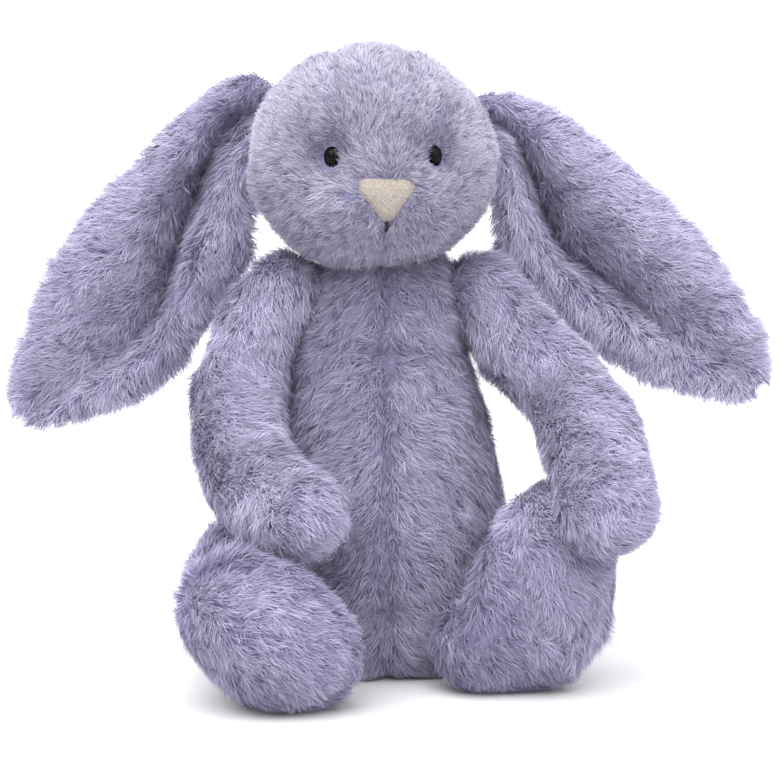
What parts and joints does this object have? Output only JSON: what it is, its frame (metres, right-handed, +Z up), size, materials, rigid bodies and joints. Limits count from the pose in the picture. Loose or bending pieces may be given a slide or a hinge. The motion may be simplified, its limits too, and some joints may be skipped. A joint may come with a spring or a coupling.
{
  "type": "stuffed bunny rabbit",
  "caption": "Seated long-eared plush rabbit with drooping folded ears, arms resting on its feet, domed eyes and a velour nose patch",
  "frame": {"origin": "on the flat seat panel, under the middle of the torso", "axes": "+X to the viewer's right of the toy's face, -Y the way the toy faces, +Z up"},
  "size_m": [0.2756, 0.1652, 0.2255],
  "materials": {
    "lavender_plush": "long soft pile",
    "cream_velour": "short velour",
    "eye_plastic": "polished",
    "washer_plastic": "moulded",
    "polyester_fibre": "loose fibre filling",
    "pellet_bag_cloth": "plain weave over pellets",
    "lavender_thread": "twisted sewing thread",
    "dark_thread": "embroidery thread"
  },
  "bodies": {
    "torso": {"arm_thread_left": "lavender_thread", "arm_thread_right": "lavender_thread", "body_back_left_panel": "lavender_plush", "body_back_right_panel": "lavender_plush", "body_base_panel": "lavender_plush", "body_front_left_panel": "lavender_plush", "body_front_right_panel": "lavender_plush", "body_stuffing": "polyester_fibre", "leg_thread_left": "lavender_thread", "leg_thread_right": "lavender_thread", "neck_thread": "lavender_thread", "pellet_bag": "pellet_bag_cloth", "tail_cover": "lavender_plush", "tail_stuffing": "polyester_fibre", "tail_thread": "lavender_thread"},
    "head": {"ear_thread_left": "lavender_thread", "ear_thread_right": "lavender_thread", "eye_left": "eye_plastic", "eye_right": "eye_plastic", "eye_washer_left": "washer_plastic", "eye_washer_right": "washer_plastic", "head_gusset": "lavender_plush", "head_left_panel": "lavender_plush", "head_right_panel": "lavender_plush", "head_stuffing": "polyester_fibre", "mouth_stitch": "dark_thread", "nose_patch": "cream_velour"},
    "ear_left": {"ear_left_back_panel": "lavender_plush", "ear_left_front_panel": "lavender_plush"},
    "ear_right": {"ear_right_back_panel": "lavender_plush", "ear_right_front_panel": "lavender_plush"},
    "arm_left": {"arm_left_inner_panel": "lavender_plush", "arm_left_outer_panel": "lavender_plush", "arm_left_stuffing": "polyester_fibre"},
    "arm_right": {"arm_right_inner_panel": "lavender_plush", "arm_right_outer_panel": "lavender_plush", "arm_right_stuffing": "polyester_fibre"},
    "leg_left": {"foot_left_sole_panel": "lavender_plush", "leg_left_inner_panel": "lavender_plush", "leg_left_outer_panel": "lavender_plush", "leg_left_stuffing": "polyester_fibre"},
    "leg_right": {"foot_right_sole_panel": "lavender_plush", "leg_right_inner_panel": "lavender_plush", "leg_right_outer_panel": "lavender_plush", "leg_right_stuffing": "polyester_fibre"}
  },
  "joints": [
    {"name": "neck_nod", "type": "hinge", "parent": "torso", "child": "head", "pos_m": [-0.005, 0, 0.15], "axis": [1, 0, 0], "range_deg": [-5, 20]},
    {"name": "ear_left_swing", "type": "hinge", "parent": "head", "child": "ear_left", "pos_m": [-0.0482, 0.015, 0.19], "axis": [0, 0, -1], "range_deg": [-6, 65]},
    {"name": "ear_right_swing", "type": "hinge", "parent": "head", "child": "ear_right", "pos_m": [0.0363, 0.015, 0.19], "axis": [0, 0, 1], "range_deg": [-6, 65]},
    {"name": "arm_left_raise", "type": "hinge", "parent": "torso", "child": "arm_left", "pos_m": [-0.0395, 0, 0.137], "axis": [-1, 0, 0], "range_deg": [0, 80]},
    {"name": "arm_right_raise", "type": "hinge", "parent": "torso", "child": "arm_right", "pos_m": [0.0365, 0, 0.137], "axis": [-1, 0, 0], "range_deg": [0, 80]},
    {"name": "leg_left_splay", "type": "hinge", "parent": "torso", "child": "leg_left", "pos_m": [-0.0553, -0.013, 0.038], "axis": [0, 0, -1], "range_deg": [0, 30]},
    {"name": "leg_right_splay", "type": "hinge", "parent": "torso", "child": "leg_right", "pos_m": [0.0325, -0.0435, 0.016], "axis": [0, 0, 1], "range_deg": [0, 25]}
  ]
}
